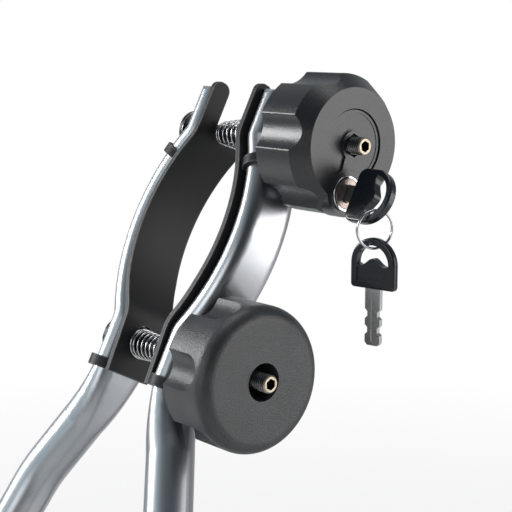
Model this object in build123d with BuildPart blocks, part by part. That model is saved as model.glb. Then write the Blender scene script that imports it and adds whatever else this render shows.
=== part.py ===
"""Roof mounted bike carrier: a wheel tray on two roof bar clamps, and a two-tube clamp arm.

The row frame has its origin at the middle of the tray's underside, +X along the tray and +Z up.
The arm's own frame, HEAD, has its origin on the lower clamp bolt, half way between the jaws:
x runs along the bolts towards the knobs, y across the jaws and z up the arm.
"""
import math
import os

from build123d import *

os.makedirs("parts", exist_ok=True)

# Fits and overruns shared by every piece
overrun = 5.0
seat_gap = 0.3
running_gap = 0.06
slide_gap = 0.4
trim_fillet = 1.0

# Wheel tray, a roll-formed channel
tray_length = 1300.0
tray_width = 104.0
tray_height = 28.0
tray_wall = 2.0
tray_lip = 9.0
tray_corner = 5.0

# Tray end caps
cap_wall = 2.4
cap_sleeve = 24.0

# Clamp arm: two steel tubes whose upper ends are pressed flat into jaws
arm_lean = 27.1
arm_length = 430.0
pivot_height = 15.0
foot_radius = 15.0
tube_diameter = 22.0
tube_wall = 1.6
jaw_flat = 12.4
jaw_heel_flat = 14.8
jaw_heel = 12.0
fold_radius = 17.0
neck_flat = 18.5
foot_flat = 7.0
foot_hole = 14.0
tube_seam_flat = 0.1
splay_angle = 28.5
splay_drop = 21.0
knee_angle = 14.0
knee_drop = 76.0
ankle_drop = 140.0
tube_bend = 60.0
round_start = 26.0
foot_taper = 22.0
foot_reach = 34.0

# Jaws and pads
jaw_gap = 30.0
jaw_bulge = 15.0
lower_fold = 13.8
upper_fold = 105.5
pad_bottom = 17.5
pad_tip = 134.0
tube_tip = 132.0
pad_thickness = 2.5
pad_width = 30.5
pad_root_width = 25.0
pad_taper_top = 34.0
pad_bore_radius = 5.0
strap_thickness = 1.8
lower_strap_height = 5.4
upper_strap_height = 4.6
upper_strap_top = 94.0
notch_radius = 4.9
shoulder_rise = 5.0
finger_corner = 4.5
shoulder_corner = 3.0

# Clamp bolts, M8
bolt_diameter = 8.0
bolt_spacing = 111.5
thread_pitch = 1.25
thread_depth = 0.62
threaded_show = 15.0
bolt_head_radius = 10.0
bolt_head_thickness = 3.6
socket_across_flats = 4.6
socket_depth = 5.0
bolt_hole_radius = 4.4
bolt_play = 0.6
slot_slack = 3.6
lower_bolt_show = 4.7
upper_bolt_show = 7.1

# Conical springs between the jaws
spring_wire = 1.0
lower_spring_big = 7.2
lower_spring_small = 4.9
lower_spring_turns = 8
upper_spring_big = 9.6
upper_spring_small = 4.9
upper_spring_turns = 6
end_coil_pitch = 1.55
end_coil_turns = 1.25

# Spacers and threaded inserts of the two knobs
spacer_radius = 10.5
upper_spacer_radius = 7.5
spacer_bore_wall = 1.6
insert_play = 0.05
insert_web = 2.0
rib_angle = 15.0
insert_radius = 6.4
insert_length = 12.0
insert_flange_radius = 7.6
insert_flange = 1.6

# Lower hand knob
lower_knob_radius = 33.0
lower_knob_face = 78.0
lower_knob_depth = 29.0
lower_knob_edge = 6.4
lower_knob_face_radius = 26.6
lower_knob_hole = 8.5
lower_recess_radius = 10.0
lower_recess_centre = 38.0
lower_recess_front = 15.0
lower_recess_angle = 15.0
knob_lobes = 6
hub_radius = 11.0
knob_cavity_radius = 25.0
knob_cavity_depth = 15.0
rib_thickness = 2.4

# Upper hand knob with the lock
upper_knob_radius = 31.6
upper_knob_face = 79.0
upper_knob_depth = 30.0
upper_knob_face_radius = 25.6
upper_knob_edge = 7.6
scallop_radius = 14.0
scallop_centre = 42.4
lobe_round = 1.2
dish_radius = 16.3
dish_slope = 0.5
dish_depth = 2.6
cover_thickness = 1.8
cover_rim = 1.2
cover_step = 0.3
boss_radius = 6.8
boss_hexagon = 9.4
web_wide = 11.0
web_angle = 84.0

# Lock, key plug and keys
lock_offset = 21.5
lock_turn = 14.3
lock_lug_radius = 10.6
lock_ring_radius = 8.1
lock_plug_radius = 6.9
lock_length = 22.0
lock_stand = 1.4
lock_floor = 2.0
lock_wall = 1.6
lock_edge = 0.4
keyway_width = 2.5
keyway_height = 8.4
keyway_depth = 19.0
lock_pin_radius = 2.2
lock_pin_length = 10.0
lock_pin_hold = 0.8
key_blade_width = 7.8
key_blade_thickness = 2.1
key_blade_in = 17.0
key_neck = 4.4
key_blade_hold = 6.0
key_groove_width = 1.6
key_groove_depth = 0.4
key_notch_width = 2.2
key_notch_depth = 1.3
key_notch_shares = (0.55, 0.78)
key_bow_length = 22.8
key_bow_width = 24.8
key_bow_thickness = 4.2
key_rim = 2.6
key_hole_bar = 1.4
key_hole_wave = 2.4
key_edge = 1.0
key_bow_corner = 4.0
ring_radius = 8.3
ring_wire = 1.1
ring_band = 1.5
ring_lift = 2.8
ring_along = 5.0
ring_turn = 71.0
spare_bow_length = 22.4
spare_bow_width = 23.2
spare_bow_thickness = 3.4
spare_bow_corner = 1.8
spare_rim = 3.2
spare_hole_hump = 2.6
spare_blade_length = 25.0
spare_lift = 1.5
spare_turn = 10.0
spare_panel_width = 16.5
spare_panel_height = 6.0
spare_panel_depth = 0.5
spare_panel_drop = 16.4

# Arm pivot on the tray
bracket_length = 60.0
bracket_wall = 3.0
bracket_height = 30.0
bracket_corner = 10.0
bracket_fit = 0.1
pivot_bolt_diameter = 10.0
pivot_bolt_play = 0.3
pivot_head_across_flats = 17.0
pivot_head_height = 6.4
pivot_nut_height = 8.0
pivot_end_show = 3.0
pivot_washer_radius = 9.5
pivot_washer_thickness = 2.0
pivot_sleeve_wall = 2.2
bush_collar_radius = 10.0
bush_tilt_gap = 0.32
foot_play = 0.7

# Roof bar clamps
bar_spacing = 700.0
bar_width = 34.0
bar_height = 24.0
saddle_length = 96.0
saddle_width = 88.0
saddle_height = 14.0
saddle_edge = 4.0
bar_pad_thickness = 3.0
bar_pad_inset = 0.6
bar_pad_groove = 1.2
bar_pad_grooves = 7
bar_pad_groove_pitch = 10.0
jaw_plate_thickness = 10.0
jaw_plate_width = 40.0
jaw_tongue_thickness = 6.0
jaw_slot_floor = 1.5
jaw_drop = 7.0
jaw_end = 12.0
screw_inset = 11.0
clamp_screw_diameter = 8.0
clamp_head_radius = 8.0
clamp_head_height = 4.6
clamp_nut_across_flats = 13.0
clamp_nut_height = 6.5
bar_knob_radius = 21.0
bar_knob_height = 20.0
bar_knob_scallop_radius = 9.0
bar_knob_scallop_centre = 26.0
bar_knob_lobes = 5
bar_knob_edge = 2.5
bar_knob_gap = 0.7

# Screws that hold the saddles under the tray
tray_screw_radius = 2.5
tray_screw_head_radius = 4.8
tray_screw_head_height = 2.6
tray_screw_length = 10.0
tray_screw_spacing = 60.0

# Wheel cradles, straps and buckles
cradle_end_gap = 55.0
wheel_radius = 345.0
tyre_radius = 27.0
cradle_length = 150.0
cradle_top_length = 122.0
cradle_width = 84.0
cradle_rise = 34.0
cradle_groove_floor = 10.0
cradle_wall = 5.0
cradle_edge = 3.0
strap_width = 24.0
strap_sheet = 2.6
strap_inner_radius = 33.0
strap_rise = 58.0
strap_slot_depth = 16.0
buckle_length = 34.0
buckle_width = 32.0
buckle_thickness = 7.0
buckle_inner = 2.7
buckle_drop = 12.0
buckle_ear = 2.6
buckle_corner = 2.0
buckle_pin_radius = 1.8
lever_barrel_radius = 4.2
lever_length = 38.0
lever_thickness = 4.0

# Places worked out from the sizes above
lean = math.radians(arm_lean)
pivot_x = -arm_length * math.sin(lean)
HEAD = Plane(
    origin=(0, 0, pivot_height + arm_length * math.cos(lean)),
    x_dir=(0, -1, 0),
    z_dir=(math.sin(lean), 0, math.cos(lean)),
)
UPPER = Plane(
    origin=HEAD.from_local_coords((0, 0, bolt_spacing)),
    x_dir=(0, -1, 0),
    z_dir=(math.sin(lean), 0, math.cos(lean)),
)
ROW = Plane.XY
pad_face = jaw_gap / 2
pad_back = pad_face + pad_thickness
jaw_middle = (lower_fold + upper_fold) / 2
jaw_chord = upper_fold - lower_fold
bulge_radius = (jaw_chord**2 / 4 + jaw_bulge**2) / (2 * jaw_bulge)
bulge_centre = pad_face + jaw_bulge - bulge_radius
fold_run = math.sqrt(
    (bulge_radius + fold_radius) ** 2 - (pad_face + fold_radius - bulge_centre) ** 2
)
tube_inner = pad_back + seat_gap
tube_centre = tube_inner + jaw_flat / 2
finger_edge = -notch_radius


def write(piece, name, place=ROW):
    """Label a finished piece, stand it in the row frame and write its STEP file."""
    piece.part.label = name
    export_step(piece.part.moved(place.location), f"parts/{name}.step")


def flattened_width(thickness):
    """Width of a round tube pressed to a thickness, with its wall length kept."""
    return math.pi * tube_diameter / 2 + thickness * (1 - math.pi / 2)


def jaw_face(distance):
    """Points down a jaw face, at a distance behind the pad's front: lines, folds and bulge."""
    line_x = pad_face + distance
    points = []
    for side in (1, -1):
        fold = Vector(pad_face + fold_radius, jaw_middle + side * fold_run)
        centre = Vector(bulge_centre, jaw_middle)
        meet = centre + (fold - centre) * ((bulge_radius + distance) / (bulge_radius + fold_radius))
        turn = (Vector(-1, 0) + (centre - fold).normalized()).normalized()
        middle = fold + turn * (fold_radius - distance)
        group = [(line_x, fold.Y), (middle.X, middle.Y), (meet.X, meet.Y)]
        points.append(group)
    return points[0] + [(bulge_centre + bulge_radius + distance, jaw_middle)] + points[1][::-1]


def outer_face(height):
    """Where the tube's outer face lies at a height of the jaw."""
    distance = pad_thickness + seat_gap + jaw_flat
    flat = pad_face + distance
    rise = abs(height - jaw_middle)
    reach = bulge_radius + distance
    return max(flat, bulge_centre + math.sqrt(max(0, reach**2 - rise**2)))


# Arm tubes: round steel tube, pressed flat at the jaw and at the foot
knee_x = tube_centre + (knee_drop - splay_drop) * math.tan(math.radians(splay_angle))
foot_x = knee_x + (ankle_drop - knee_drop) * math.tan(math.radians(knee_angle))
round_flat = tube_diameter - tube_seam_flat


def neck_stations(side):
    """Planes and thicknesses from the flat jaw's heel down to the round tube."""
    splay = math.radians(splay_angle)
    stations = [(tube_centre, -jaw_heel, 0.0, jaw_flat)]
    for reach, thickness in ((round_start / 2, neck_flat), (round_start, round_flat)):
        x = tube_centre + reach * math.sin(splay)
        stations.append((x, -splay_drop - reach * math.cos(splay), -splay, thickness))
    planes = []
    for x, z, slope, thickness in stations:
        plane = Plane(
            origin=(side * x, 0, z),
            x_dir=(0, 1, 0),
            z_dir=(side * math.sin(slope), 0, math.cos(slope)),
        )
        planes.append((plane, thickness))
    return planes


def foot_stations(side):
    """Planes and thicknesses from the round tube down to the flat foot."""
    heights = (
        (foot_reach + foot_taper, round_flat),
        (foot_reach + foot_taper / 2, (round_flat + foot_flat) / 2),
        (foot_reach, foot_flat),
    )
    return [
        (Plane(origin=(side * foot_x, 0, rise - arm_length), x_dir=(0, 1, 0), z_dir=(0, 0, 1)), thickness)
        for rise, thickness in heights
    ]


def arm_tube(side, bolt_slack):
    """One bent tube with its jaw, bolt holes, top notch and foot."""
    splay = math.radians(splay_angle)
    start_x = tube_centre + round_start * math.sin(splay)
    start_z = -splay_drop - round_start * math.cos(splay)
    route = [
        (side * start_x, 0, start_z),
        (side * knee_x, 0, -knee_drop),
        (side * foot_x, 0, -ankle_drop),
        (side * foot_x, 0, foot_reach + foot_taper - arm_length),
    ]
    round_width = flattened_width(round_flat)
    with BuildPart() as tube:
        for inset, mode in ((0.0, Mode.ADD), (2 * tube_wall, Mode.SUBTRACT)):
            points = [(side * x, z) for x, z in jaw_face(tube_centre - pad_face)]
            with BuildLine(Plane.XZ, mode=Mode.PRIVATE) as jaw:
                Line((side * tube_centre, tube_tip - inset / 2), points[0])
                ThreePointArc(points[0], points[1], points[2])
                ThreePointArc(points[2], points[3], points[4])
                ThreePointArc(points[4], points[5], points[6])
                Line(points[6], (side * tube_centre, -jaw_heel))
            with BuildSketch(Plane(origin=jaw.line @ 0, x_dir=(0, 1, 0), z_dir=jaw.line % 0)):
                SlotOverall(flattened_width(jaw_flat) - inset, jaw_flat - inset)
            sweep(path=jaw.line, mode=mode)
            for plane, thickness in neck_stations(side):
                with BuildSketch(plane):
                    SlotOverall(flattened_width(thickness) - inset, thickness - inset)
            loft(mode=mode)
            with BuildLine(mode=Mode.PRIVATE) as path:
                FilletPolyline(*route, radius=tube_bend)
            start = Plane(origin=path.line @ 0, x_dir=(0, 1, 0), z_dir=path.line % 0)
            with BuildSketch(start):
                SlotOverall(round_width - inset, round_flat - inset)
            sweep(path=path.line, mode=mode)
            for plane, thickness in foot_stations(side):
                with BuildSketch(plane):
                    SlotOverall(flattened_width(thickness) - inset, thickness - inset)
            loft(mode=mode)
        with BuildSketch(foot_stations(side)[-1][0]):
            Rectangle(flattened_width(foot_flat), foot_flat)
        extrude(amount=-foot_reach - foot_radius)
        jaw_plane = Plane(origin=(side * pad_face, 0, 0), x_dir=(0, 1, 0), z_dir=(1, 0, 0))
        through = 2 * jaw_flat + jaw_bulge
        with BuildSketch(jaw_plane):
            with Locations((0, bolt_slack / 2)):
                SlotOverall(2 * bolt_hole_radius + bolt_slack, 2 * bolt_hole_radius, rotation=90)
        extrude(amount=through, both=True, mode=Mode.SUBTRACT)
        tip_cut(jaw_plane, through, flattened_width(jaw_flat), tube_tip)
        foot_plane = Plane(origin=(side * foot_x, 0, -arm_length), x_dir=(0, 1, 0), z_dir=(1, 0, 0))
        with BuildSketch(foot_plane):
            Circle(foot_hole / 2)
        extrude(amount=foot_flat, both=True, mode=Mode.SUBTRACT)
        with BuildSketch(foot_plane):
            Rectangle(tube_diameter * 2, 2 * foot_radius, align=(Align.CENTER, Align.MAX))
            Circle(foot_radius, mode=Mode.SUBTRACT)
        extrude(amount=foot_flat, both=True, mode=Mode.SUBTRACT)
    return tube


def tip_cut(plane, through, width, tip):
    """Cut the open bolt notch, the finger and their corners out of a jaw's or pad's top."""
    half = width / 2
    far = half + overrun
    with BuildSketch(plane) as notch:
        with BuildLine():
            Polyline(
                (finger_edge, bolt_spacing),
                (finger_edge, tip + overrun),
                (far, tip + overrun),
                (far, bolt_spacing + shoulder_rise),
                (notch_radius, bolt_spacing + shoulder_rise),
                (notch_radius, bolt_spacing),
                close=True,
            )
        make_face()
        with Locations((0, bolt_spacing)):
            Circle(notch_radius)
    extrude(notch.sketch, amount=through, both=True, mode=Mode.SUBTRACT)
    with BuildSketch(plane) as corners:
        with Locations((-half, tip)):
            Rectangle(finger_corner, finger_corner, align=(Align.MIN, Align.MAX))
        with Locations((-half + finger_corner, tip - finger_corner)):
            Circle(finger_corner, mode=Mode.SUBTRACT)
        with Locations((finger_edge, tip)):
            Rectangle(finger_corner, finger_corner, align=(Align.MAX, Align.MAX))
        with Locations((finger_edge - finger_corner, tip - finger_corner)):
            Circle(finger_corner, mode=Mode.SUBTRACT)
        with Locations((half, bolt_spacing + shoulder_rise)):
            Rectangle(shoulder_corner, shoulder_corner, align=(Align.MAX, Align.MAX))
        with Locations((half - shoulder_corner, bolt_spacing + shoulder_rise - shoulder_corner)):
            Circle(shoulder_corner, mode=Mode.SUBTRACT)
    extrude(corners.sketch, amount=through, both=True, mode=Mode.SUBTRACT)


right_tube = arm_tube(1, bolt_play)
write(right_tube, "right_arm_tube", HEAD)
left_tube = arm_tube(-1, slot_slack)
write(left_tube, "left_arm_tube", HEAD)


# Jaw pads: black moulded plastic, held by two straps each round the tube
def strap_ring(plane, inside, tube_width, height):
    """A strap that closes round a pressed tube section."""
    width = tube_width + 2 * seat_gap
    with BuildSketch(plane) as band:
        SlotOverall(width + 2 * strap_thickness, inside + 2 * strap_thickness)
        SlotOverall(width, inside, mode=Mode.SUBTRACT)
    extrude(band.sketch, amount=height)


def jaw_pad(side, bolt_slack):
    """A pad that follows the jaw's inner side from heel to tip."""
    front = jaw_face(0)
    back = jaw_face(pad_thickness)
    with BuildPart() as pad:
        with BuildSketch(Plane.XZ):
            with BuildLine():
                Line((pad_face, pad_tip), front[0])
                Line((pad_back, pad_tip), back[0])
                for points in (front, back):
                    ThreePointArc(points[0], points[1], points[2])
                    ThreePointArc(points[2], points[3], points[4])
                    ThreePointArc(points[4], points[5], points[6])
                Line(front[6], (pad_face, -pad_bottom))
                Line(back[6], (pad_back, -pad_bottom))
                Line((pad_face, pad_tip), (pad_back, pad_tip))
                Line((pad_face, -pad_bottom), (pad_back, -pad_bottom))
            make_face()
        extrude(amount=pad_width / 2, both=True)
        jaw_plane = Plane(origin=(pad_face, 0, 0), x_dir=(0, 1, 0), z_dir=(1, 0, 0))
        through = jaw_bulge + pad_thickness + overrun
        with BuildSketch(jaw_plane):
            for way in (-1, 1):
                with BuildLine():
                    Polyline(
                        (way * pad_root_width / 2, -pad_bottom - overrun),
                        (way * pad_root_width / 2, -pad_bottom),
                        (way * pad_width / 2, pad_taper_top),
                        (way * (pad_width / 2 + overrun), pad_taper_top),
                        (way * (pad_width / 2 + overrun), -pad_bottom - overrun),
                        close=True,
                    )
                make_face()
        extrude(amount=through, both=True, mode=Mode.SUBTRACT)
        with BuildSketch(jaw_plane):
            with Locations((0, bolt_slack / 2)):
                SlotOverall(2 * pad_bore_radius + bolt_slack, 2 * pad_bore_radius, rotation=90)
        extrude(amount=through, both=True, mode=Mode.SUBTRACT)
        tip_cut(jaw_plane, through, pad_width, pad_tip)
        heel_inside = jaw_heel_flat + 2 * seat_gap
        heel_x = pad_back + heel_inside / 2
        heel = Plane(origin=(heel_x, 0, -pad_bottom), x_dir=(0, 1, 0), z_dir=(0, 0, 1))
        strap_ring(heel, heel_inside, flattened_width(jaw_flat), lower_strap_height)
        angle = math.asin((upper_strap_top - upper_strap_height - jaw_middle) / bulge_radius)
        reach = bulge_radius + tube_centre - pad_face
        x = bulge_centre + reach * math.cos(angle)
        z = jaw_middle + reach * math.sin(angle)
        band = Plane(origin=(x, 0, z), x_dir=(0, 1, 0), z_dir=(-math.sin(angle), 0, math.cos(angle)))
        strap_ring(band, jaw_flat + 2 * seat_gap, flattened_width(jaw_flat), upper_strap_height)
        if side < 0:
            mirror(about=Plane.YZ, mode=Mode.REPLACE)
    return pad


right_pad = jaw_pad(1, bolt_play)
write(right_pad, "right_jaw_pad", HEAD)
left_pad = jaw_pad(-1, slot_slack)
write(left_pad, "left_jaw_pad", HEAD)

# Clamp bolts: a flat round head behind the left jaw, a threaded end with a hexagon socket
def facing(distance):
    """Plane square to the bolts at a distance along them, with its outline seen from the knobs."""
    return Plane(origin=(distance, 0, 0), x_dir=(0, 1, 0), z_dir=(1, 0, 0))


def upper_seat(radius):
    """Where a disc round the upper bolt clears the jaw's outer face."""
    return outer_face(bolt_spacing - radius) + seat_gap


def clamp_bolt(head_face, end):
    """One M8 bolt along x, with its thread shown at the knob end."""
    radius = bolt_diameter / 2
    turns = int(threaded_show / thread_pitch)
    first = end - thread_depth - turns * thread_pitch
    back = -head_face - bolt_head_thickness
    outline = [
        (back, 0),
        (back, bolt_head_radius - trim_fillet),
        (back + trim_fillet, bolt_head_radius),
        (-head_face, bolt_head_radius),
        (-head_face, radius),
    ]
    for turn in range(turns):
        crest = first + turn * thread_pitch
        outline.append((crest, radius))
        outline.append((crest + thread_pitch / 2, radius - thread_depth))
    outline += [(end - thread_depth, radius), (end, radius - thread_depth), (end, 0)]
    with BuildPart() as bolt:
        with BuildSketch(Plane.XZ):
            with BuildLine():
                Polyline(*outline, close=True)
            make_face()
        revolve(axis=Axis.X)
        with BuildSketch(facing(end)):
            RegularPolygon(socket_across_flats / 2, 6, major_radius=False)
        extrude(amount=-socket_depth, mode=Mode.SUBTRACT)
    return bolt


lower_bolt = clamp_bolt(outer_face(bolt_head_radius) + seat_gap, lower_knob_face + lower_bolt_show)
write(lower_bolt, "lower_bolt", HEAD)
upper_bolt = clamp_bolt(upper_seat(bolt_head_radius), upper_knob_face + upper_bolt_show)
write(upper_bolt, "upper_bolt", UPPER)


# Conical springs: one round wire each, with closed end coils and straight ends
def biarc(start, start_way, end, end_way):
    """Two arcs that leave one point along its direction and meet the next along its own."""
    chord = end - start
    both = chord.dot(start_way + end_way)
    bend = 2 * (1 - start_way.dot(end_way))
    reach = (math.sqrt(both**2 + bend * chord.dot(chord)) - both) / bend
    first = start + start_way * reach
    second = end - end_way * reach
    middle = (first + second) / 2
    TangentArc(start, middle, tangent=start_way)
    TangentArc(middle, end, tangent=second - first)


def coil_stations(start, end, start_radius, end_radius, turns):
    """Points and directions of a conical coil along x, a quarter turn apart."""
    steps = 4
    end_steps = int(end_coil_turns * steps)
    free_steps = turns * steps
    end_step = end_coil_pitch / steps
    free_step = (end - start - 2 * end_steps * end_step) / free_steps
    total = 2 * end_steps + free_steps
    along = start
    stations = []
    for index in range(total + 1):
        closed = index < end_steps or index >= total - end_steps
        step = end_step if closed else free_step
        radius = start_radius + (end_radius - start_radius) * index / total
        angle = index * 2 * math.pi / steps
        turn = radius * 2 * math.pi / steps
        point = Vector(along, radius * math.cos(angle), radius * math.sin(angle))
        way = Vector(step, -turn * math.sin(angle), turn * math.cos(angle)).normalized()
        stations.append((point, way))
        along += step
    return stations


def conical_spring(start_radius, end_radius, turns, name):
    """A spring from the left pad to the right pad, and its least gap to itself."""
    inset = spring_wire / 2 + seat_gap
    stations = coil_stations(-pad_face + inset, pad_face - inset, start_radius, end_radius, turns)
    first, first_way = stations[0]
    last, last_way = stations[-1]
    with BuildPart() as spring:
        with BuildLine() as wire:
            Line(first - first_way * spring_wire, first)
            for (here, way), (there, next_way) in zip(stations, stations[1:]):
                biarc(here, way, there, next_way)
            Line(last, last + last_way * spring_wire)
        with BuildSketch(Plane(origin=wire.line @ 0, z_dir=wire.line % 0)):
            Circle(spring_wire / 2)
        sweep()
    points = [wire.line @ (index / 400) for index in range(401)]
    skip = 8
    gap = min(
        (here - there).length - spring_wire
        for index, here in enumerate(points)
        for there in points[index + skip :]
        if (here - there).length > 0
    )
    print(f"{name}: least gap to itself {gap:.2f} mm")
    return spring


lower_spring = conical_spring(lower_spring_big, lower_spring_small, lower_spring_turns, "lower_spring")
write(lower_spring, "lower_spring", HEAD)
upper_spring = conical_spring(upper_spring_small, upper_spring_big, upper_spring_turns, "upper_spring")
write(upper_spring, "upper_spring", UPPER)


# Spacers between the right jaw and the knobs
def spacer(start, end, radius):
    """A plastic collar on the bolt, hollowed from the knob's side."""
    bore = bolt_diameter / 2 + running_gap
    with BuildPart() as collar:
        with BuildSketch(facing(start)):
            Circle(radius)
        extrude(amount=end - start)
        fillet(collar.edges().filter_by(GeomType.CIRCLE).group_by(Axis.X)[0], trim_fillet)
        with BuildSketch(facing(start + spacer_bore_wall)):
            Circle(radius - spacer_bore_wall)
            Circle(bore + spacer_bore_wall / 2, mode=Mode.SUBTRACT)
        extrude(amount=end - start, mode=Mode.SUBTRACT)
        with BuildSketch(facing(start)):
            Circle(bore)
        extrude(amount=end - start, mode=Mode.SUBTRACT)
    return collar


lower_back = lower_knob_face - lower_knob_depth
upper_back = upper_knob_face - upper_knob_depth
lower_spacer = spacer(outer_face(spacer_radius) + seat_gap, lower_back - seat_gap, spacer_radius)
write(lower_spacer, "lower_spacer", HEAD)
upper_spacer = spacer(upper_seat(upper_spacer_radius), upper_back - seat_gap, upper_spacer_radius)
write(upper_spacer, "upper_spacer", UPPER)


# Threaded inserts: brass, flanged, pressed into the backs of the knobs
def threaded_insert(back):
    """A brass insert with its flange on the knob's back."""
    with BuildPart() as insert:
        with BuildSketch(facing(back)):
            Circle(insert_flange_radius)
        extrude(amount=insert_flange)
        with BuildSketch(facing(back)):
            Circle(insert_radius)
        extrude(amount=insert_length)
        with BuildSketch(facing(back)):
            Circle(bolt_diameter / 2 + running_gap)
        extrude(amount=insert_length, mode=Mode.SUBTRACT)
    return insert


lower_insert = threaded_insert(lower_back)
write(lower_insert, "lower_knob_insert", HEAD)
upper_insert = threaded_insert(upper_back)
write(upper_insert, "upper_knob_insert", UPPER)


# Lower hand knob: round, with six recesses in its side that stop short of the front
def knob_back(back, cavity, hub, depth):
    """Hollow a knob from behind, leaving its hub with the insert's seat and six ribs."""
    with BuildSketch(facing(back)) as hollow:
        Circle(cavity)
        Circle(hub, mode=Mode.SUBTRACT)
        with PolarLocations(0, knob_lobes, start_angle=rib_angle):
            with Locations((0, cavity / 2)):
                Rectangle(rib_thickness, cavity, mode=Mode.SUBTRACT)
    extrude(hollow.sketch, amount=depth, mode=Mode.SUBTRACT)
    with BuildSketch(facing(back)) as flange_seat:
        Circle(insert_flange_radius + insert_play)
    extrude(flange_seat.sketch, amount=insert_flange + insert_play, mode=Mode.SUBTRACT)
    with BuildSketch(facing(back)) as insert_seat:
        Circle(insert_radius + insert_play)
    extrude(insert_seat.sketch, amount=insert_length + insert_play, mode=Mode.SUBTRACT)


with BuildPart() as lower_knob:
    with BuildSketch(facing(lower_knob_face)):
        Circle(lower_knob_radius)
    extrude(amount=-lower_knob_depth)
    fillet(lower_knob.faces().sort_by(Axis.X)[-1].edges(), lower_knob_edge)
    fillet(lower_knob.faces().sort_by(Axis.X)[0].edges(), trim_fillet)
    with BuildSketch(facing(lower_back)):
        with PolarLocations(lower_recess_centre, knob_lobes, start_angle=lower_recess_angle):
            Circle(lower_recess_radius)
    extrude(amount=lower_knob_depth - lower_recess_front, mode=Mode.SUBTRACT)
    with Locations(facing(lower_knob_face - lower_recess_front)):
        with PolarLocations(lower_recess_centre, knob_lobes, start_angle=lower_recess_angle):
            Sphere(lower_recess_radius, mode=Mode.SUBTRACT)
    knob_back(lower_back, knob_cavity_radius, hub_radius, knob_cavity_depth)
    with BuildSketch(facing(lower_knob_face)):
        Circle(lower_knob_hole)
    extrude(amount=insert_length + insert_web - lower_knob_depth, mode=Mode.SUBTRACT)
    with BuildSketch(facing(lower_back)):
        Circle(bolt_hole_radius)
    extrude(amount=lower_knob_depth, mode=Mode.SUBTRACT)
write(lower_knob, "lower_knob", HEAD)


# Upper hand knob: six lobes with shallow flutes, a wavy front edge, a dish and a lock seat
lock_angle = -90 + lock_turn
lock_y = lock_offset * math.cos(math.radians(lock_angle))
lock_z = lock_offset * math.sin(math.radians(lock_angle))


with BuildPart() as upper_knob:
    with BuildSketch(facing(upper_back)):
        Circle(upper_knob_radius)
        with PolarLocations(scallop_centre, knob_lobes, start_angle=lock_angle + 180 / knob_lobes):
            Circle(scallop_radius, mode=Mode.SUBTRACT)
    extrude(amount=upper_knob_depth)
    fillet(upper_knob.edges().filter_by(Axis.X), lobe_round)
    with BuildSketch(Plane.XZ):
        with BuildLine():
            start = (upper_back, 0)
            Line(start, (upper_back, upper_knob_radius))
            Line((upper_back, upper_knob_radius), (upper_knob_face - upper_knob_edge, upper_knob_radius))
            Line(
                (upper_knob_face - upper_knob_edge, upper_knob_radius),
                (upper_knob_face, upper_knob_face_radius),
            )
            Line((upper_knob_face, upper_knob_face_radius), (upper_knob_face, 0))
            Line((upper_knob_face, 0), start)
        make_face()
    revolve(axis=Axis.X, mode=Mode.INTERSECT)
    with BuildSketch(facing(upper_knob_face)):
        Circle(dish_radius)
    extrude(amount=-dish_depth, taper=math.degrees(math.atan(dish_slope / dish_depth)), mode=Mode.SUBTRACT)
    knob_back(upper_back, knob_cavity_radius, hub_radius, knob_cavity_depth)
    with BuildSketch(facing(upper_back)):
        with Locations((lock_y, lock_z)):
            Circle(lock_ring_radius + lock_wall)
    extrude(amount=upper_knob_depth)
    with BuildSketch(facing(upper_knob_face)):
        with Locations((lock_y, lock_z)):
            Circle(lock_lug_radius)
    extrude(amount=-upper_knob_edge)
    with BuildSketch(facing(upper_back - overrun)):
        with Locations((lock_y, lock_z)):
            Circle(lock_ring_radius + insert_play)
    extrude(amount=upper_knob_depth + 2 * overrun, mode=Mode.SUBTRACT)
    with BuildSketch(facing(upper_back)):
        Circle(bolt_hole_radius)
    extrude(amount=upper_knob_depth, mode=Mode.SUBTRACT)
write(upper_knob, "upper_knob", UPPER)

# Cover of the upper knob: a disc in the dish with a raised boss and a web to the lock
floor = upper_knob_face - dish_depth + insert_play
cover_radius = dish_radius - dish_slope - insert_play
with BuildPart() as upper_cover:
    with BuildSketch(facing(floor)):
        Circle(cover_radius)
    extrude(amount=cover_thickness)
    with BuildSketch(facing(floor + cover_thickness)):
        Circle(cover_radius - cover_rim)
        Circle(boss_radius + cover_rim / 2, mode=Mode.SUBTRACT)
    extrude(amount=-cover_step, mode=Mode.SUBTRACT)
    with BuildSketch(facing(floor)):
        with Locations(Rotation(0, 0, lock_turn)):
            Trapezoid(web_wide, lock_offset, web_angle, align=(Align.CENTER, Align.MAX))
        Circle(boss_radius)
        Circle(cover_radius, mode=Mode.INTERSECT)
    extrude(amount=dish_depth)
    with BuildSketch(facing(floor)):
        with Locations((lock_y, lock_z)):
            Circle(lock_lug_radius + insert_play)
    extrude(amount=dish_depth, mode=Mode.SUBTRACT)
    with BuildSketch(facing(floor)):
        RegularPolygon(boss_hexagon / 2, knob_lobes, major_radius=False)
    extrude(amount=dish_depth, mode=Mode.SUBTRACT)
write(upper_cover, "upper_knob_cover", UPPER)

# Lock: a housing ring pressed into the lug, a turning plug with its keyway, and a sliding pin
LOCK = Plane(
    origin=UPPER.from_local_coords((0, lock_y, lock_z)),
    x_dir=(0, -1, 0),
    z_dir=(math.sin(lean), 0, math.cos(lean)),
)
lock_front = upper_knob_face + lock_stand
lock_back = lock_front - lock_length
with BuildPart() as lock_housing:
    with BuildSketch(facing(lock_back)):
        Circle(lock_ring_radius)
    extrude(amount=lock_length - insert_play)
    fillet(lock_housing.faces().sort_by(Axis.X)[-1].edges(), lock_edge)
    with BuildSketch(facing(lock_back + lock_floor)):
        Circle(lock_plug_radius + running_gap)
    extrude(amount=lock_length, mode=Mode.SUBTRACT)
    with BuildSketch(facing(lock_back)):
        Circle(lock_pin_radius + running_gap)
    extrude(amount=lock_length, mode=Mode.SUBTRACT)
write(lock_housing, "lock_housing", LOCK)

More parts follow.
